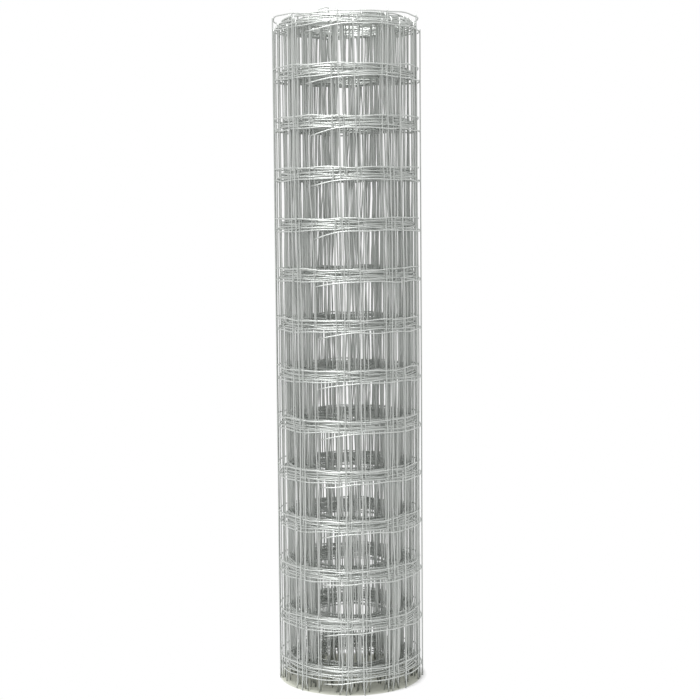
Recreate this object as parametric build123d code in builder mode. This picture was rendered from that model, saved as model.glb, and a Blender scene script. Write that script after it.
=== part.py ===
from build123d import *
from math import atan2, cos, degrees, floor, radians, sin
import os

# A roll of welded square wire mesh standing on end, in millimetres.
# The mesh is a grid: line wires run along its length, round the roll, and stay wires cross them,
# up and down the roll, on its outer side. Rolled up, the line wires of all turns lie together in
# level bands, because the turns have slipped up and down against each other by a little.
# So the roll is a thick-walled tube whose outside is stepped: the wall between the bands lies
# back, the bands stand out, and the stays of the outer turns stand out as ribs.
# Z is up along the roll's axis, and Z = 0 is the floor under the stays' lower ends.

# The flat mesh
wire_diameter = 2.0
weld_sink = 0.4
line_spacing = 75.0
line_count = 14
stay_spacing = 75.0
stub_below = 19.0
stub_above = 6.0
tail_length = 64.0

# The winding
outer_radius = 115.0
turn_count = 29
turn_pitch = 2.0
turn_slip = 22.0
free_end_angle = 247.0

# What the solid shows of it: how many turns stand clear of the wall as ribs,
# and how many turns each ridge on the ends stands for
ribbed_turns = 2
turns_per_ridge = 6

# Worked out from the values above
bore_radius = outer_radius - turn_count * turn_pitch
mesh_width = stub_below + (line_count - 1) * line_spacing + stub_above
roll_height = mesh_width + turn_slip
stay_offset = wire_diameter - weld_sink
line_radius = outer_radius - wire_diameter / 2 - stay_offset
band_height = turn_slip + wire_diameter
band_bottom = stub_below - wire_diameter / 2
band_radius = outer_radius - stay_offset
wall_radius = outer_radius - ribbed_turns * turn_pitch - wire_diameter / 2
ridge_pitch = turns_per_ridge * turn_pitch
groove_width = wire_diameter
groove_turns = floor((wall_radius - bore_radius) / ridge_pitch) - 1
groove_depth_below = band_bottom
groove_depth_above = stub_above - wire_diameter / 2


def winding_plane(height):
    """A level plane at this height, with its X axis towards the free end of the mesh."""
    angle = radians(free_end_angle)
    return Plane(origin=(0, 0, height), x_dir=(cos(angle), sin(angle), 0), z_dir=(0, 0, 1))


def half_turn(start_radius, pitch, number):
    """Half turn of a spiral that winds inwards by one pitch a turn, as an arc about one of two centres."""
    radius = start_radius - number * pitch / 2
    if number % 2 == 0:
        return CenterArc((0, 0), radius, 0, 180)
    return CenterArc((-pitch / 2, 0), radius, 180, 180)


def wound_outline(radius, *planes):
    """The roll's outline on each plane: one turn of the spiral, closed by the step at the free end."""
    with BuildSketch(*planes) as outline:
        with BuildLine():
            half_turn(radius, turn_pitch, 0)
            half_turn(radius, turn_pitch, 1)
            Line((radius - turn_pitch, 0), (radius, 0))
        make_face()
    return outline.sketch


def groove_outline(plane):
    """A spiral groove from the wall's edge inwards, which ends half a turn before the core."""
    outer_start = wall_radius - ridge_pitch + groove_width
    inner_start = wall_radius - ridge_pitch
    halves = 2 * groove_turns - 1
    travel = (halves - 1) * ridge_pitch / 2
    with BuildSketch(plane) as outline:
        with BuildLine():
            for number in range(halves):
                half_turn(outer_start, ridge_pitch, number)
                half_turn(inner_start, ridge_pitch, number)
            Line((inner_start, 0), (outer_start, 0))
            Line((travel - inner_start, 0), (travel - outer_start, 0))
        make_face()
    return outline.sketch


def stay_places():
    """Where the outer turns' stays stand: one cell apart along the line wires, facing inwards."""
    with BuildLine() as turns:
        for number in range(2 * ribbed_turns):
            half_turn(line_radius, turn_pitch, number)
    path = turns.wire()
    places = []
    for number in range(floor((path.length - tail_length) / stay_spacing) + 1):
        share = (tail_length + number * stay_spacing) / path.length
        along = path % share
        outward = along.cross(Vector(0, 0, 1))
        point = path @ share + outward * (stay_offset + wire_diameter / 2)
        places.append(Location(point, (0, 0, degrees(atan2(along.Y, along.X)))))
    return places


up = (0, 0, 1)
rib_depth = ribbed_turns * turn_pitch + wire_diameter
with BuildPart() as mesh_roll:
    # The wall of all turns but the ribbed ones
    extrude(wound_outline(wall_radius, winding_plane(0)), amount=roll_height, dir=up)

    # The bands, where the line wires of all turns lie
    band_planes = [winding_plane(band_bottom + level * line_spacing) for level in range(line_count)]
    extrude(wound_outline(band_radius, *band_planes), amount=band_height, dir=up)

    # The outer turns' stays, which stand on the wall as ribs and cross the bands
    with BuildSketch(winding_plane(0)):
        with Locations(*stay_places()):
            Rectangle(wire_diameter, rib_depth, align=(Align.CENTER, Align.MIN))
    extrude(amount=mesh_width)

    # The bore, and the turns that show on both ends
    with BuildSketch(winding_plane(0)):
        Circle(bore_radius)
    extrude(amount=roll_height, mode=Mode.SUBTRACT)
    top_groove = groove_outline(winding_plane(roll_height - groove_depth_above))
    extrude(top_groove, amount=groove_depth_above, dir=up, mode=Mode.SUBTRACT)
    bottom_groove = groove_outline(winding_plane(0))
    extrude(bottom_groove, amount=groove_depth_below, dir=up, mode=Mode.SUBTRACT)

mesh_roll.part.label = "mesh_roll"

os.makedirs("parts", exist_ok=True)
export_step(mesh_roll.part, "parts/mesh_roll.step")
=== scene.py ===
import math
import random

import bmesh
import bpy
from mathutils import Matrix, Vector


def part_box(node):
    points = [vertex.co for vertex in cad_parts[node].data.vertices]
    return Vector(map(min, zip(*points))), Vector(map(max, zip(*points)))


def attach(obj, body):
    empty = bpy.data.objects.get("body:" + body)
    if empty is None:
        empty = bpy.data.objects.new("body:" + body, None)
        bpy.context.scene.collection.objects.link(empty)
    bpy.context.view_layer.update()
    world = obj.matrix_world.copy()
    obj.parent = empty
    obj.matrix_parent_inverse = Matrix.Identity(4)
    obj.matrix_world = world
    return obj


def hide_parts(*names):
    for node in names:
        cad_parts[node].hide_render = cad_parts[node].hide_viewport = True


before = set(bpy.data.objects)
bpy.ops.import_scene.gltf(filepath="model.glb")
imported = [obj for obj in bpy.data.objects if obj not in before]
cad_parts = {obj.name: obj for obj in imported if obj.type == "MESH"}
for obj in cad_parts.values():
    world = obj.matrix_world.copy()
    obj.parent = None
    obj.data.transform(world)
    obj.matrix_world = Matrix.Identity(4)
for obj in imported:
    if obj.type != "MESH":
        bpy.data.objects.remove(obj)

bl_info = {
    "name": "Welded wire mesh roll",
    "version": (1, 0, 0),
    "blender": (4, 5, 0),
    "location": "3D View > Sidebar > Mesh roll",
    "description": "Builds a standing roll of galvanised welded square mesh, wire by wire",
    "category": "Add Mesh",
}

# The solid that the wires stand for and its highest corner
NODE = "mesh_roll"
BODY = "root"
HIGHEST_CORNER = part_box(NODE)[1]

MM = 0.001

# The slot of the bare steel in what wire_materials gives
CUT_SLOT = 1

# What each kind of bend adds to the roll's seed, so that no two draw the same numbers.
# The ripples' is added once more for each line wire.
SAG_SEED = 31
TAIL_SEED = 40
RIPPLE_SEED = 100
END_SEED = 5000
SWAY_SEED = 7000
BOW_SEED = 9000

# How fine the patterns of the zinc and of the rust on cut ends are, in cells a metre
SPANGLES = 260.0
DRIFTS = 9.0
STREAKS = 45.0
WIRE_TONES = 110.0
CHALK_PATCHES = 60.0
GRAINS = 900.0
RUST_SPOTS = 400.0


# Properties: the sizes and colours that a user would change


class MeshSizes(bpy.types.PropertyGroup):
    """The flat mesh before it is rolled up."""

    wire_diameter: bpy.props.FloatProperty(
        name="Wire diameter", description="Thickness of line and stay wires alike",
        default=2.0 * MM, min=0.5 * MM, unit="LENGTH")
    weld_sink: bpy.props.FloatProperty(
        name="Weld sink", description="How far a stay is pressed into a line wire at a weld",
        default=0.4 * MM, min=0.0, unit="LENGTH")
    line_spacing: bpy.props.FloatProperty(
        name="Line spacing", description="Distance from one line wire to the next, up the roll",
        default=75 * MM, min=5 * MM, unit="LENGTH")
    line_count: bpy.props.IntProperty(
        name="Line wires", description="Number of wires that run along the mesh", default=14, min=2)
    stay_spacing: bpy.props.FloatProperty(
        name="Stay spacing", description="Distance from one stay to the next, along the mesh",
        default=75 * MM, min=5 * MM, unit="LENGTH")
    stub_below: bpy.props.FloatProperty(
        name="Stub below", description="Length of a stay below the lowest line wire",
        default=19 * MM, min=0.0, unit="LENGTH")
    stub_above: bpy.props.FloatProperty(
        name="Stub above", description="Length of a stay above the highest line wire",
        default=6 * MM, min=0.0, unit="LENGTH")
    tail_length: bpy.props.FloatProperty(
        name="Tail length",
        description="How far the line wires reach past the first stay, at the free end",
        default=64 * MM, min=0.0, unit="LENGTH")


class RollShape(bpy.types.PropertyGroup):
    """How the mesh is wound, and how the roll has slipped and bent since."""

    outer_radius: bpy.props.FloatProperty(
        name="Outer radius", description="From the axis to the outside of the outer turn's stays",
        default=114.4 * MM, min=10 * MM, unit="LENGTH")
    turn_count: bpy.props.IntProperty(
        name="Turns", description="Number of turns of mesh", default=29, min=2)
    turn_pitch: bpy.props.FloatProperty(
        name="Turn pitch", description="How much further in each turn lies than the one outside it",
        default=2.0 * MM, min=0.5 * MM, unit="LENGTH")
    free_end_angle: bpy.props.FloatProperty(
        name="Free end", description="Where the free ends of the line wires lie round the roll",
        default=math.radians(247), subtype="ANGLE")
    outer_slip: bpy.props.FloatProperty(
        name="Outer slip",
        description="How far the outer turn stands up from the floor near its free end",
        default=1.4 * MM, min=0.0, unit="LENGTH")
    slip_low: bpy.props.FloatProperty(
        name="Least slip",
        description="How far the lowest of the other turns has slipped up the roll",
        default=2.4 * MM, min=0.0, unit="LENGTH")
    slip_high: bpy.props.FloatProperty(
        name="Most slip",
        description="How far the highest of the other turns has slipped up the roll",
        default=19.6 * MM, min=0.0, unit="LENGTH")
    slip_wave: bpy.props.FloatProperty(
        name="Slip wave", description="How far a turn rises and falls on its way round",
        default=2.2 * MM, min=0.0, unit="LENGTH")
    foot_share: bpy.props.FloatProperty(
        name="Foot share",
        description="Share of a turn's slip by which its stays' lower ends leave the floor",
        default=0.05, min=0.0, max=1.0, subtype="FACTOR")
    ripple: bpy.props.FloatProperty(
        name="Ripple", description="How far a line wire waves up and down between its neighbours",
        default=1.8 * MM, min=0.0, unit="LENGTH")
    sag: bpy.props.FloatProperty(
        name="Sag", description="How far the turns sag inwards from an even spiral",
        default=1.0 * MM, min=0.0, unit="LENGTH")
    tail_droop: bpy.props.FloatProperty(
        name="Tail droop", description="How far the free ends of the line wires hang down at most",
        default=11.5 * MM, min=0.0, unit="LENGTH")
    tail_reach: bpy.props.FloatProperty(
        name="Tail reach",
        description="How much longer the highest line wire's free end is than the lowest's",
        default=12.0 * MM, min=0.0, unit="LENGTH")
    creep: bpy.props.FloatProperty(
        name="Creep",
        description="How far the inner turns' stays have crept round the roll at most",
        default=28.0 * MM, min=0.0, unit="LENGTH")
    creep_seed: bpy.props.IntProperty(
        name="Creep seed",
        description="Starts the random numbers of the outer turns' creep", default=21665)
    core_creep_seed: bpy.props.IntProperty(
        name="Core creep seed",
        description="Starts the random numbers of the inner turns' creep", default=3805)
    stay_sway: bpy.props.FloatProperty(
        name="Stay sway", description="How far a stay strays sideways over its height",
        default=2.6 * MM, min=0.0, unit="LENGTH")
    stay_bow: bpy.props.FloatProperty(
        name="Stay bow", description="How far a stay bows sideways from one cell to the next",
        default=1.0 * MM, min=0.0, unit="LENGTH")
    splay: bpy.props.FloatProperty(
        name="Splay", description="How far a stay's lower end is bent sideways at most",
        default=3.5 * MM, min=0.0, unit="LENGTH")
    twist: bpy.props.FloatProperty(
        name="Twist", description="How far the top of the roll is turned against its foot",
        default=math.radians(-4), subtype="ANGLE")
    seed: bpy.props.IntProperty(
        name="Seed", description="Starts the random numbers of the wires' bends", default=7)


class ZincFinish(bpy.types.PropertyGroup):
    """Dull galvanised wire."""

    grey: bpy.props.FloatVectorProperty(
        name="Zinc grey", description="Main colour of the zinc", subtype="COLOR",
        default=(0.63, 0.645, 0.646), min=0.0, max=1.0)
    # Painted reflection: the floor's greener tone, laid on the zinc near the floor
    painted_floor_reflection: bpy.props.FloatVectorProperty(
        name="Low grey", description="Colour of the zinc near the floor", subtype="COLOR",
        default=(0.62, 0.632, 0.575), min=0.0, max=1.0)
    cool_grey: bpy.props.FloatVectorProperty(
        name="Cool grey", description="Colour of the bluer stretches", subtype="COLOR",
        default=(0.64, 0.648, 0.68), min=0.0, max=1.0)
    white_rust: bpy.props.FloatVectorProperty(
        name="White rust", description="Colour of the chalky patches", subtype="COLOR",
        default=(0.78, 0.79, 0.76), min=0.0, max=1.0)
    cut_steel: bpy.props.FloatVectorProperty(
        name="Cut steel", description="Colour of the bare wire at a cut end", subtype="COLOR",
        default=(0.30, 0.29, 0.27), min=0.0, max=1.0)
    rust: bpy.props.FloatVectorProperty(
        name="Rust", description="Colour of the rust on a cut end", subtype="COLOR",
        default=(0.23, 0.15, 0.10), min=0.0, max=1.0)
    roughness: bpy.props.FloatProperty(
        name="Roughness", description="Least roughness of the zinc", default=0.66,
        min=0.0, max=1.0, subtype="FACTOR")


class StageSettings(bpy.types.PropertyGroup):
    """Camera, floor and light."""

    camera_distance: bpy.props.FloatProperty(
        name="Camera distance", description="From the roll's axis to the camera",
        default=2.300, min=0.5, unit="LENGTH")
    camera_height: bpy.props.FloatProperty(
        name="Camera height", description="From the floor to the camera",
        default=0.7079, min=0.0, unit="LENGTH")
    camera_side: bpy.props.FloatProperty(
        name="Camera side step",
        description="How far the camera stands to the right of the roll's axis",
        default=0.0026, unit="LENGTH")
    camera_tilt: bpy.props.FloatProperty(
        name="Camera tilt", description="How far the camera looks down",
        default=math.radians(4.886), subtype="ANGLE")
    camera_roll: bpy.props.FloatProperty(
        name="Camera roll", description="How far the camera is turned about its line of sight",
        default=math.radians(-0.45), subtype="ANGLE")
    lens: bpy.props.FloatProperty(
        name="Lens", description="Focal length in millimetres", default=76.82, min=10.0)
    floor_colour: bpy.props.FloatVectorProperty(
        name="Floor", description="Colour of the floor", subtype="COLOR",
        default=(0.86, 0.86, 0.86), min=0.0, max=1.0)
    # Painted shade: a darker floor colour under the roll stands in for the shade that the mesh
    # casts there
    painted_shade_colour: bpy.props.FloatVectorProperty(
        name="Painted floor shade", description="Colour of the floor under the roll", subtype="COLOR",
        default=(0.58, 0.59, 0.52), min=0.0, max=1.0)
    ambient: bpy.props.FloatProperty(
        name="Ambient light",
        description="Strength of the light from all round", default=0.62, min=0.0)


# The winding: where a point of the flat mesh lies once the mesh is rolled up


class Winding:
    """The spiral of the rolled mesh, made of half turns about two centres half a pitch apart."""

    # How often the turns' height swings up and down: over half a swing each turn lies a little more
    # than a wire higher than the one outside it, and the next half swing's turns lie in the gaps
    swings_a_turn = 0.0722
    # Where the first swing starts, at its lowest, in turns from the free end
    lowest_turn = 1.6
    # Where the mesh leaves the outer turn's own height, and the turns that this takes
    leave_start, leave_ramp = 0.15, 0.13
    # The stretch that lies as high as the highest turn, so that the bands are as tall at the
    # roll's sides as in its middle: its start and end, and the turns that each rise takes
    high_start, high_end, high_ramp = 0.40, 1.68, 0.30
    # How many values of creep are nought at the free end, and how many come from the outer seed
    uncrept_values, outer_values = 3, 10
    # How many of the outer stays stand straighter than the rest, and what share they stray
    straight_stays, straight_share = 10, 0.5
    # Wavelengths: of the sag in stay spacings, of a stay's sway and bow in metres
    sag_wave, sway_wave, bow_wave = 3.7, 0.9, 0.19
    # The height at which the twist starts, and the height over which it builds up, in metres
    twist_start, twist_ramp = 0.5, 0.5

    def __init__(self, sizes, shape):
        self.sizes = sizes
        self.shape = shape
        self.pitch = shape.turn_pitch
        self.stay_offset = sizes.wire_diameter - sizes.weld_sink
        self.line_radius = shape.outer_radius - sizes.wire_diameter / 2 - self.stay_offset
        self.half_turns = 2 * shape.turn_count
        self.height = self.line_height(sizes.line_count - 1) + sizes.stub_above
        picker = random.Random(shape.seed)
        self.slip_waves = []
        for _ in range(3):
            waves_a_turn = picker.uniform(1.3, 3.1)
            self.slip_waves.append((waves_a_turn, picker.uniform(0, math.tau)))
        self.sags = Ripples(shape.seed + SAG_SEED, self.sag_wave * sizes.stay_spacing)
        self.creeps = [0.0] * self.uncrept_values
        core_values = shape.turn_count - self.outer_values
        for seed, count in ((shape.creep_seed, self.outer_values),
                            (shape.core_creep_seed, core_values)):
            picker = random.Random(seed)
            self.creeps += [picker.uniform(-1, 1) for _ in range(count)]

    def half_radius(self, half):
        return self.line_radius - half * self.pitch / 2

    def half_centre(self, half):
        return Vector((0 if half % 2 == 0 else -self.pitch / 2, 0, 0))

    def length(self):
        """Length of mesh in the roll, along its line wires."""
        return sum(math.pi * self.half_radius(half) for half in range(self.half_turns))

    def half_and_angle(self, distance):
        """The half turn that a point of the mesh lies on, and its angle about the half's centre."""
        half = 0
        while half < self.half_turns - 1 and distance > math.pi * self.half_radius(half):
            distance -= math.pi * self.half_radius(half)
            half += 1
        start = math.pi * (half % 2)
        return half, start + distance / self.half_radius(half)

    def turns(self, distance):
        """How many turns lie between the free end and a point of the mesh."""
        half, angle = self.half_and_angle(distance)
        return half / 2 + (angle - math.pi * (half % 2)) / math.tau

    def inward(self, distance):
        """How far a point of the mesh lies inside an even spiral."""
        return self.shape.sag * (0.5 + 0.5 * self.sags.at(distance))

    def place(self, distance, outward, height):
        """A matrix at a point of the bent roll, with X along the line wires, Y outward and Z up."""
        half, angle = self.half_and_angle(distance)
        radius = self.half_radius(half) + outward - self.inward(distance)
        spoke = Vector((math.cos(angle), math.sin(angle), 0))
        along = Vector((-spoke.y, spoke.x, 0))
        point = self.half_centre(half) + radius * spoke
        matrix = Matrix((along, spoke, Vector((0, 0, 1)))).transposed().to_4x4()
        matrix.translation = point
        matrix = Matrix.Rotation(self.shape.free_end_angle, 4, "Z") @ matrix
        matrix.translation.z = height
        matrix.translation = self.bend(matrix.translation)
        return matrix

    def slip(self, turns):
        """How far the mesh has slipped up the roll, this many turns from its free end."""
        swings = self.swings_a_turn * max(turns - self.lowest_turn, 0)
        swing = abs(2 * ((0.5 + swings) % 1) - 1)
        settled = self.shape.slip_low + (self.shape.slip_high - self.shape.slip_low) * swing
        high = smooth((turns - self.high_start) / self.high_ramp)
        high *= smooth((self.high_end - turns) / self.high_ramp)
        settled += (self.shape.slip_high - settled) * high
        waves = [math.sin(math.tau * rate * turns + phase) for rate, phase in self.slip_waves]
        settled += self.shape.slip_wave * (sum(waves) / len(waves))
        freedom = smooth((turns - self.leave_start) / self.leave_ramp)
        return self.shape.outer_slip * (1 - freedom) + settled * freedom

    def crept(self, distance):
        """Where a stay has crept to, from its even place along the mesh."""
        turns = self.turns(distance)
        share = smooth(turns % 1)
        before, after = self.creeps[int(turns)], self.creeps[int(turns) + 1]
        return distance + self.shape.creep * ((1 - share) * before + share * after)

    def stay_distances(self):
        """Where the stays are welded along the mesh, from its free end."""
        first, spacing = self.sizes.tail_length, self.sizes.stay_spacing
        room = self.length() - first - self.sizes.wire_diameter
        count = int(room / spacing) + 1
        return [self.crept(first + number * spacing) for number in range(count)]

    def stray(self, number, height):
        """How far a stay lies along the mesh from its right place, this high up."""
        sway = Ripples(self.shape.seed + SWAY_SEED + number, self.sway_wave).at(height)
        bow = Ripples(self.shape.seed + BOW_SEED + number, self.bow_wave).at(height)
        share = self.straight_share if number < self.straight_stays else 1.0
        return share * (self.shape.stay_sway * sway + self.shape.stay_bow * bow)

    def line_height(self, level):
        """Height of a line wire above the lower ends of the stays."""
        return self.sizes.stub_below + level * self.sizes.line_spacing

    def bend(self, point):
        """Where a point of the upright roll lies after the roll has twisted."""
        share = smooth((point.z - self.twist_start) / self.twist_ramp)
        return Matrix.Rotation(self.shape.twist * share, 3, "Z") @ point


def smooth(share):
    """An even step from 0 to 1 with level ends."""
    share = min(max(share, 0), 1)
    return share * share * (3 - 2 * share)


class Ripples:
    """The mean of three seeded waves, whose lengths are about as 1 to 1/2 to 1/3."""

    def __init__(self, seed, longest):
        picker = random.Random(seed)
        self.waves = []
        for number in range(3):
            length = longest / (number + 1) * picker.uniform(0.8, 1.2)
            self.waves.append((length, picker.uniform(0, math.tau)))

    def at(self, distance):
        """The height of the waves at this distance, between -1 and 1."""
        total = sum(math.sin(math.tau * distance / length + phase) for length, phase in self.waves)
        return total / len(self.waves)


# Mesh helpers


def finish_piece(bm, name, materials):
    """Turn a bmesh into a smooth-shaded piece that rides with the roll and stands for the solid."""
    bmesh.ops.recalc_face_normals(bm, faces=bm.faces)
    mesh = bpy.data.meshes.new(name)
    bm.to_mesh(mesh)
    bm.free()
    mesh.shade_smooth()
    for material in materials:
        mesh.materials.append(material)
    piece = bpy.data.objects.new(name, mesh)
    bpy.context.scene.collection.objects.link(piece)
    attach(piece, BODY)
    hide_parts(NODE)
    return piece


def cap(bm, edges):
    """Close an open wire end with a flat face of bare steel."""
    made = bmesh.ops.contextual_create(bm, geom=edges)
    for face in made["faces"]:
        face.smooth = False
        face.material_index = CUT_SLOT


def ring_at(bm, matrix, radius, sides):
    """An open ring of edges across a wire, facing the matrix's X axis."""
    across = matrix @ Matrix.Rotation(math.pi / 2, 4, "Y")
    made = bmesh.ops.create_circle(bm, segments=sides, radius=radius, matrix=across)
    return list({edge for vert in made["verts"] for edge in vert.link_edges})


def wire_through(bm, places, radius, sides):
    """A capped wire through a row of matrices, each with X along the wire."""
    edges = ring_at(bm, places[0], radius, sides)
    first = edges
    for before, after in zip(places, places[1:]):
        made = bmesh.ops.extrude_edge_only(bm, edges=edges)["geom"]
        verts = [item for item in made if isinstance(item, bmesh.types.BMVert)]
        edges = [item for item in made if isinstance(item, bmesh.types.BMEdge)]
        bmesh.ops.transform(bm, matrix=after @ before.inverted(), verts=verts)
    cap(bm, first)
    cap(bm, edges)


# Shader helpers


class Signal:
    """A shader value that can be used in arithmetic: each operator adds a Math node."""

    def __init__(self, tree, socket):
        self.tree = tree
        self.socket = socket

    def maths(self, operation, first, second):
        node = self.tree.add("ShaderNodeMath", {"operation": operation}, {0: first, 1: second})
        return Signal(self.tree, node.outputs[0])

    def __add__(self, other):
        return self.maths("ADD", self, other)

    def __radd__(self, other):
        return self.maths("ADD", other, self)

    def __sub__(self, other):
        return self.maths("SUBTRACT", self, other)

    def __rsub__(self, other):
        return self.maths("SUBTRACT", other, self)

    def __mul__(self, other):
        return self.maths("MULTIPLY", self, other)

    def __rmul__(self, other):
        return self.maths("MULTIPLY", other, self)

    def at_most(self, limit):
        return self.maths("MINIMUM", self, limit)


class ShaderTree:
    """The node tree of a material or a world."""

    def __init__(self, owner):
        owner.use_nodes = True
        self.tree = owner.node_tree
        self.tree.nodes.clear()

    def add(self, kind, settings, sockets):
        """Add a node, set its settings and then its sockets, which take values or links."""
        node = self.tree.nodes.new(kind)
        for name, value in settings.items():
            setattr(node, name, value)
        for name, value in sockets.items():
            self.fill(node.inputs[name], value)
        return node

    def fill(self, socket, value):
        """Give a socket its value, or its link."""
        if isinstance(value, Signal):
            self.tree.links.new(value.socket, socket)
        else:
            socket.default_value = value

    def signal(self, kind, settings, sockets, output):
        """Add a node and take one of its outputs."""
        return Signal(self, self.add(kind, settings, sockets).outputs[output])

    def noise(self, where, scale, detail=2.0):
        sockets = {"Vector": where, "Scale": scale, "Detail": detail}
        return self.signal("ShaderNodeTexNoise", {}, sockets, "Fac")

    def threshold(self, value, low, high):
        """Nought below low, one above high and a smooth step between them."""
        settings = {"interpolation_type": "SMOOTHSTEP"}
        sockets = {"Value": value, "From Min": low, "From Max": high}
        return self.signal("ShaderNodeMapRange", settings, sockets, "Result")

    def mix(self, share, first, second, blend="MIX"):
        """Mix two colours. The node has more than one A, B and Result, so they go by identifier."""
        settings = {"data_type": "RGBA", "blend_type": blend}
        node = self.add("ShaderNodeMix", settings, {"Factor": share})
        inputs = {socket.identifier: socket for socket in node.inputs}
        self.fill(inputs["A_Color"], first)
        self.fill(inputs["B_Color"], second)
        outputs = {socket.identifier: socket for socket in node.outputs}
        return Signal(self, outputs["Result_Color"])


def rgba(colour):
    return (*colour, 1.0)


def zinc_material(finish):
    """Dull zinc: a fine spangle, slow drifts of tone, chalky patches and a slightly rough skin."""
    material = bpy.data.materials.new("galvanised_wire")
    tree = ShaderTree(material)
    where = tree.signal("ShaderNodeTexCoord", {}, {}, "Object")
    cells = tree.signal("ShaderNodeTexVoronoi", {}, {"Vector": where, "Scale": SPANGLES}, "Color")
    spangle = tree.signal("ShaderNodeRGBToBW", {}, {"Color": cells}, "Val")
    drift = tree.noise(where, DRIFTS)
    streak = tree.noise(where, STREAKS, 3.0)
    # Drawn out upwards, so that a stay keeps nearly one tone over its height
    squeeze = {"Vector": where, "Scale": (1.0, 1.0, 0.04)}
    squeezed = tree.signal("ShaderNodeMapping", {}, squeeze, "Vector")
    wires = tree.threshold(tree.noise(squeezed, WIRE_TONES, 1.0), 0.30, 0.70)
    chalk = tree.threshold(tree.noise(where, CHALK_PATCHES, 4.0), 0.60, 0.72)

    # Painted reflection of the floor: the colour goes from the floor's tone to the zinc's over the
    # lower 0.8 m
    height = tree.signal("ShaderNodeSeparateXYZ", {}, {"Vector": where}, "Z")
    risen = tree.threshold(height, 0.0, 0.8)
    colour = tree.mix(risen, rgba(finish.painted_floor_reflection), rgba(finish.grey))
    colour = tree.mix(tree.threshold(drift, 0.42, 0.66), colour, rgba(finish.cool_grey))
    tone = 0.60 + 0.12 * spangle + 0.18 * streak + 0.36 * wires
    tones = {"Red": tone, "Green": tone, "Blue": tone}
    shade = tree.signal("ShaderNodeCombineColor", {}, tones, "Color")
    colour = tree.mix(1.0, colour, shade, "MULTIPLY")
    colour = tree.mix(chalk, colour, rgba(finish.white_rust))

    grain = tree.noise(where, GRAINS, 3.0)
    skin = {"Strength": 0.25, "Distance": 0.1 * MM, "Height": grain}
    surface = tree.signal("ShaderNodeBsdfPrincipled", {}, {
        "Base Color": colour,
        "Metallic": 0.15 - 0.1 * chalk,
        "Roughness": finish.roughness + 0.22 * streak + 0.25 * chalk,
        "Normal": tree.signal("ShaderNodeBump", {}, skin, "Normal"),
    }, "BSDF")
    tree.add("ShaderNodeOutputMaterial", {}, {"Surface": surface})
    return material


def cut_material(finish):
    """Bare steel where a wire was cut, with a trace of rust."""
    material = bpy.data.materials.new("cut_wire_end")
    tree = ShaderTree(material)
    where = tree.signal("ShaderNodeTexCoord", {}, {}, "Object")
    rust = tree.threshold(tree.noise(where, RUST_SPOTS, 3.0), 0.50, 0.70)
    colour = tree.mix(rust, rgba(finish.cut_steel), rgba(finish.rust))
    surface = tree.signal("ShaderNodeBsdfPrincipled", {}, {
        "Base Color": colour,
        "Metallic": 0.9 - 0.5 * rust,
        "Roughness": 0.35 + 0.4 * rust,
    }, "BSDF")
    tree.add("ShaderNodeOutputMaterial", {}, {"Surface": surface})
    return material


def wire_materials(context):
    """The zinc of the wires and the bare steel of their cut ends, made once."""
    finish = context.scene.zinc_finish
    zinc = bpy.data.materials.get("galvanised_wire") or zinc_material(finish)
    cut = bpy.data.materials.get("cut_wire_end") or cut_material(finish)
    return [zinc, cut]


# Operators: the wires


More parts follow.
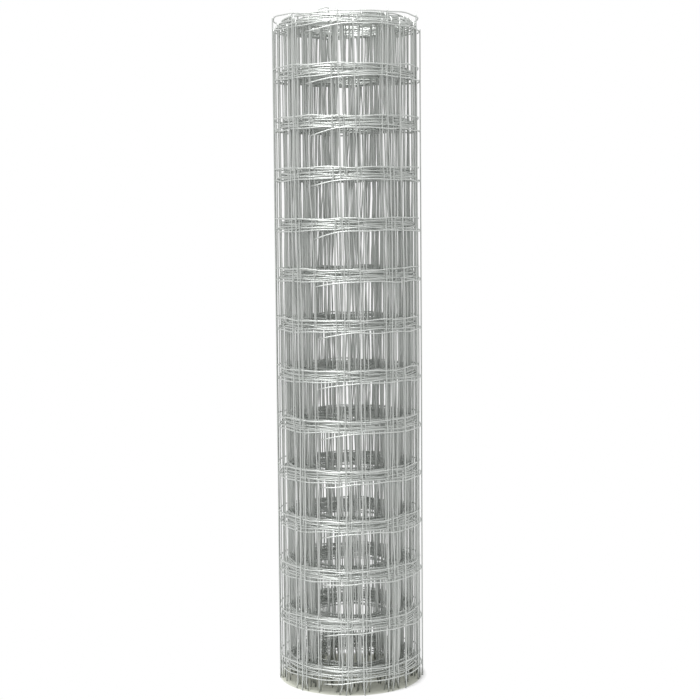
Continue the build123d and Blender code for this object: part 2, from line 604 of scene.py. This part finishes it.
class ROLL_OT_line_wires(bpy.types.Operator):
    """Wind each line wire round the roll, all its turns in one piece"""

    bl_idname = "roll.line_wires"
    bl_label = "Line wires"

    # Rings in half a turn, and sides of the wire
    steps = 36
    sides = 8
    # The lowest tail's droop as a share of the highest's, and how fast it grows towards the end
    least_droop, droop_power = 0.45, 1.6
    # How far the lowest tail falls short, as a share of the tails' reach
    short_tail = 0.2
    # Wavelength of the ripples, in stay spacings
    ripple_wave = 2.6

    def execute(self, context):
        sizes = context.scene.mesh_sizes
        winding = Winding(sizes, context.scene.roll_shape)
        spiral = self.wind(winding)
        stations = self.stations(winding)
        for level in range(sizes.line_count):
            self.lay(context, winding, spiral, stations, level)
        spiral.free()
        return {"FINISHED"}

    def wind(self, winding):
        """A line wire of every turn, level and even, as one row of rings from its free end."""
        bm = bmesh.new()
        start = Matrix.Translation((winding.line_radius, 0, 0))
        start = start @ Matrix.Rotation(math.pi / 2, 4, "Z")
        edges = ring_at(bm, start, winding.sizes.wire_diameter / 2, self.sides)
        first = edges
        for half in range(winding.half_turns):
            made = bmesh.ops.spin(bm, geom=edges, cent=winding.half_centre(half), axis=(0, 0, 1),
                                  angle=math.pi, steps=self.steps, use_duplicate=False)
            edges = [item for item in made["geom_last"] if isinstance(item, bmesh.types.BMEdge)]
        cap(bm, first)
        cap(bm, edges)
        return bm

    def stations(self, winding):
        """For each ring of the row, its distance along the mesh, its turns and its way outwards."""
        stations = [(0.0, 0.0, Vector((1, 0, 0)))]
        passed = 0.0
        for half in range(winding.half_turns):
            radius = winding.half_radius(half)
            for step in range(1, self.steps + 1):
                travel = math.pi * step / self.steps
                angle = math.pi * (half % 2) + travel
                spoke = Vector((math.cos(angle), math.sin(angle), 0))
                stations.append((passed + radius * travel, half / 2 + travel / math.tau, spoke))
            passed += math.pi * radius
        return stations

    def lay(self, context, winding, spiral, stations, level):
        """A copy of the wound wire at its own height, with its slip, ripples and drooping tail."""
        sizes, shape = winding.sizes, winding.shape
        picker = random.Random(shape.seed + TAIL_SEED + level)
        high = level / (sizes.line_count - 1)
        hang = self.least_droop + (1 - self.least_droop) * high
        droop = shape.tail_droop * (hang + picker.uniform(-0.2, 0.1))
        reach = shape.tail_reach * (high ** 2 - self.short_tail + picker.uniform(-0.2, 0.2))
        ripples = Ripples(shape.seed + RIPPLE_SEED * (level + 1),
                          self.ripple_wave * sizes.stay_spacing)
        height = winding.line_height(level)
        turned = Matrix.Rotation(shape.free_end_angle, 3, "Z")
        bm = spiral.copy()
        verts = list(bm.verts)
        for number, (distance, turns, spoke) in enumerate(stations):
            free = max(1 - distance / sizes.tail_length, 0)
            rise = height + winding.slip(turns) + shape.ripple * ripples.at(distance)
            rise -= droop * free ** self.droop_power
            shift = Vector((0, 0, rise)) - spoke * winding.inward(distance)
            shift += Vector((spoke.y, -spoke.x, 0)) * reach * free
            for vert in verts[number * self.sides:(number + 1) * self.sides]:
                vert.co = winding.bend(turned @ (vert.co + shift))
        finish_piece(bm, f"line_wire_{level + 1:02d}", wire_materials(context))


class ROLL_OT_stay_wires(bpy.types.Operator):
    """Stand the stays on the outer side of the line wires, one piece for each turn"""

    bl_idname = "roll.stay_wires"
    bl_label = "Stay wires"

    # Rings from one weld to the next, and sides of the wire
    spans = 3
    sides = 8
    # The most that an upper end is trimmed and that a lower end reaches down, and the least gap
    # between a lower end and the floor, in millimetres
    most_trimmed, most_reach, least_gap = 3.0, 1.5, 0.2
    # How far an upper end is bent sideways at most, as a share of a lower end's splay
    head_share = 0.4
    # The stay whose upper end is bent over sideways, and its bend: how far along the mesh and
    # how far above the highest weld each point of it lies, in millimetres
    bent_stay = 69
    bent_end = ((0.8, 3.2), (0.2, 6.2), (-2.6, 8.2), (-5.8, 7.4), (-8.6, 5.8), (-11.4, 6.4),
                (-14.2, 4.8), (-16.6, 1.2), (-17.4, -2.4))

    def execute(self, context):
        sizes = context.scene.mesh_sizes
        winding = Winding(sizes, context.scene.roll_shape)
        turns = {}
        for number, distance in enumerate(winding.stay_distances()):
            turns.setdefault(int(winding.turns(distance)), []).append((number, distance))
        for turn, stays in turns.items():
            bm = bmesh.new()
            for number, distance in stays:
                self.stand(bm, winding, number, distance)
            finish_piece(bm, f"stay_wires_turn_{turn + 1:02d}", wire_materials(context))
        return {"FINISHED"}

    def stand(self, bm, winding, number, distance):
        """One stay, with its own slip, bends and ends."""
        sizes, shape = winding.sizes, winding.shape
        slip = winding.slip(winding.turns(distance))
        picker = random.Random(shape.seed + END_SEED + number)
        trimmed = picker.uniform(0, self.most_trimmed) * MM
        foot = shape.foot_share * slip - picker.uniform(0, self.most_reach) * MM
        foot = max(foot, self.least_gap * MM)
        foot_splay = picker.uniform(-1, 1) * shape.splay
        head_splay = picker.uniform(-self.head_share, self.head_share) * shape.splay
        heights = self.heights(winding, slip, foot, trimmed)
        points = [(winding.stray(number, height), height) for height in heights]
        points[0] = (points[0][0] + foot_splay, points[0][1])
        points[-1] = (points[-1][0] + head_splay, points[-1][1])
        leans = [math.pi / 2] * len(points)
        if number == self.bent_stay:
            points[-1:], leans[-1:] = self.bent_points(*points[-2])
        places = []
        for (stray, height), lean in zip(points, leans):
            place = winding.place(distance + stray, winding.stay_offset, height)
            places.append(place @ Matrix.Rotation(-lean, 4, "Y"))
        wire_through(bm, places, sizes.wire_diameter / 2, self.sides)

    def bent_points(self, stray, height):
        """The points of the bent end above the highest weld, and how the wire leans at each."""
        points = [(stray + along * MM, height + up * MM) for along, up in self.bent_end]
        path = [(stray, height), *points, points[-1]]
        leans = []
        for before, after in zip(path, path[2:]):
            leans.append(math.atan2(after[1] - before[1], after[0] - before[0]))
        return points, leans

    def heights(self, winding, slip, foot, trimmed):
        """Where a stay's rings lie above the floor: at its ends, its welds and between them."""
        sizes = winding.sizes
        lowest = slip + winding.line_height(0)
        heights = [foot, (foot + lowest) / 2]
        for level in range(sizes.line_count - 1):
            low = slip + winding.line_height(level)
            heights += [low + sizes.line_spacing * step / self.spans for step in range(self.spans)]
        heights.append(slip + winding.line_height(sizes.line_count - 1))
        heights.append(slip + winding.height - trimmed)
        return heights


class ROLL_OT_welds(bpy.types.Operator):
    """Put a small bead of squeezed metal at each crossing, one piece for each line wire"""

    bl_idname = "roll.welds"
    bl_label = "Welds"

    # How far a bead reaches from its middle across the mesh and through it, in wire diameters
    bead_reach, bead_depth = 0.62, 0.40

    def execute(self, context):
        sizes = context.scene.mesh_sizes
        winding = Winding(sizes, context.scene.roll_shape)
        reach = self.bead_reach * sizes.wire_diameter
        depth = self.bead_depth * sizes.wire_diameter
        bead = Matrix.Diagonal((reach, depth, reach, 1))
        stays = list(enumerate(winding.stay_distances()))
        slips = {number: winding.slip(winding.turns(distance)) for number, distance in stays}
        for level in range(sizes.line_count):
            bm = bmesh.new()
            for number, distance in stays:
                height = winding.line_height(level) + slips[number]
                middle = distance + winding.stray(number, height)
                place = winding.place(middle, winding.stay_offset / 2, height)
                bmesh.ops.create_icosphere(bm, subdivisions=1, radius=1.0, matrix=place @ bead)
            finish_piece(bm, f"welds_{level + 1:02d}", wire_materials(context))
        return {"FINISHED"}


# Operator: the stage


class ROLL_OT_stage(bpy.types.Operator):
    """Lay the floor, hang the lamps and set up the camera"""

    bl_idname = "roll.stage"
    bl_label = "Stage"

    # Each lamp's name, place and power, and the diameter of both
    lamps = (("upper_lamp", (-0.35, -0.9, 3.2), 50.0), ("left_lamp", (-1.1, -0.8, 3.0), 38.0))
    lamp_size = 2.2
    # How far the floor reaches, and between which distances from the roll's axis its painted shade
    # ends and it turns to the white of the background, in metres
    floor_radius = 12.0
    painted_shade_edge = (0.1085, 0.1125)
    white_edge = (0.1125, 0.121)
    # How much light of its own the floor near the roll has in the camera's eye
    floor_lift = 0.18

    def execute(self, context):
        settings = context.scene.roll_stage
        self.lay_floor(context, settings)
        self.light_world(context, settings)
        for name, place, power in self.lamps:
            self.hang_lamp(context, name, place, power)
        self.set_camera(context, settings)
        context.scene.view_settings.view_transform = "Standard"
        return {"FINISHED"}

    def lay_floor(self, context, settings):
        """A floor that holds the roll's shadow and a painted shade under the roll near by, and is
        white further out.
        """
        bm = bmesh.new()
        bmesh.ops.create_circle(bm, cap_ends=True, segments=96, radius=self.floor_radius)
        mesh = bpy.data.meshes.new("floor")
        bm.to_mesh(mesh)
        bm.free()
        material = bpy.data.materials.new("pale_floor")
        tree = ShaderTree(material)
        seen = tree.signal("ShaderNodeLightPath", {}, {}, "Is Camera Ray")
        where = tree.signal("ShaderNodeTexCoord", {}, {}, "Object")
        out = tree.signal("ShaderNodeVectorMath", {"operation": "LENGTH"}, {0: where}, "Value")
        # Painted shade under the roll: the floor takes the darker colour inside the roll's foot
        unshaded = tree.threshold(out, *self.painted_shade_edge)
        colour = tree.mix(unshaded, rgba(settings.painted_shade_colour), rgba(settings.floor_colour))
        matt = tree.signal("ShaderNodeBsdfDiffuse", {}, {"Color": colour}, "BSDF")
        glow = {"Color": colour, "Strength": self.floor_lift * seen}
        lift = tree.signal("ShaderNodeEmission", {}, glow, "Emission")
        near = tree.signal("ShaderNodeAddShader", {}, {0: matt, 1: lift}, "Shader")
        white = tree.signal("ShaderNodeEmission", {}, {"Strength": 1.0}, "Emission")
        far = tree.threshold(out, *self.white_edge) * seen
        surface = tree.signal("ShaderNodeMixShader", {}, {0: far, 1: near, 2: white}, "Shader")
        tree.add("ShaderNodeOutputMaterial", {}, {"Surface": surface})
        mesh.materials.append(material)
        floor = bpy.data.objects.new("floor", mesh)
        context.scene.collection.objects.link(floor)

    def light_world(self, context, settings):
        """A world that lights the roll at the ambient strength and shows as white."""
        world = bpy.data.worlds.new("studio")
        context.scene.world = world
        tree = ShaderTree(world)
        rays = tree.add("ShaderNodeLightPath", {}, {})
        kinds = ("Is Camera Ray", "Is Glossy Ray", "Is Transmission Ray")
        camera, glossy, passing = (Signal(tree, rays.outputs[kind]) for kind in kinds)
        shown = (camera + glossy + passing).at_most(1.0)
        strength = settings.ambient + (1.0 - settings.ambient) * shown
        sockets = {"Color": (1.0, 1.0, 1.0, 1.0), "Strength": strength}
        light = tree.signal("ShaderNodeBackground", {}, sockets, "Background")
        tree.add("ShaderNodeOutputWorld", {}, {"Surface": light})

    def hang_lamp(self, context, name, place, power):
        """A round lamp that faces the roll's middle."""
        lamp = bpy.data.lights.new(name, "AREA")
        lamp.shape = "DISK"
        lamp.size = self.lamp_size
        lamp.energy = power
        hung = bpy.data.objects.new(name, lamp)
        hung.location = place
        target = Vector((0, 0, 0.5 * HIGHEST_CORNER.z))
        hung.rotation_euler = (target - Vector(place)).to_track_quat("-Z", "Y").to_euler()
        context.scene.collection.objects.link(hung)

    def set_camera(self, context, settings):
        camera = bpy.data.cameras.new("camera")
        camera.lens = settings.lens
        camera.clip_end = 100.0
        stand = bpy.data.objects.new("camera", camera)
        looking = Matrix.Rotation(math.pi / 2 - settings.camera_tilt, 4, "X")
        looking = looking @ Matrix.Rotation(settings.camera_roll, 4, "Z")
        place = (settings.camera_side, -settings.camera_distance, settings.camera_height)
        stand.matrix_world = Matrix.Translation(place) @ looking
        context.scene.collection.objects.link(stand)
        context.scene.camera = stand


class ROLL_PT_panel(bpy.types.Panel):
    """Buttons that build the roll and its stage"""

    bl_idname = "ROLL_PT_panel"
    bl_label = "Mesh roll"
    bl_space_type = "VIEW_3D"
    bl_region_type = "UI"
    bl_category = "Mesh roll"

    def draw(self, context):
        for operator in OPERATORS:
            self.layout.operator(operator.bl_idname)


OPERATORS = (ROLL_OT_line_wires, ROLL_OT_stay_wires, ROLL_OT_welds, ROLL_OT_stage)
GROUPS = {
    "mesh_sizes": MeshSizes,
    "roll_shape": RollShape,
    "zinc_finish": ZincFinish,
    "roll_stage": StageSettings,
}


def register():
    for group in GROUPS.values():
        bpy.utils.register_class(group)
    for operator in OPERATORS:
        bpy.utils.register_class(operator)
    bpy.utils.register_class(ROLL_PT_panel)
    for name, group in GROUPS.items():
        setattr(bpy.types.Scene, name, bpy.props.PointerProperty(type=group))


def unregister():
    for name in GROUPS:
        delattr(bpy.types.Scene, name)
    bpy.utils.unregister_class(ROLL_PT_panel)
    for operator in reversed(OPERATORS):
        bpy.utils.unregister_class(operator)
    for group in reversed(GROUPS.values()):
        bpy.utils.unregister_class(group)


def main():
    """Build the roll on its stage."""
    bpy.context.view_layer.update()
    register()
    bpy.ops.roll.line_wires()
    bpy.ops.roll.stay_wires()
    bpy.ops.roll.welds()
    bpy.ops.roll.stage()


if __name__ == "__main__":
    main()
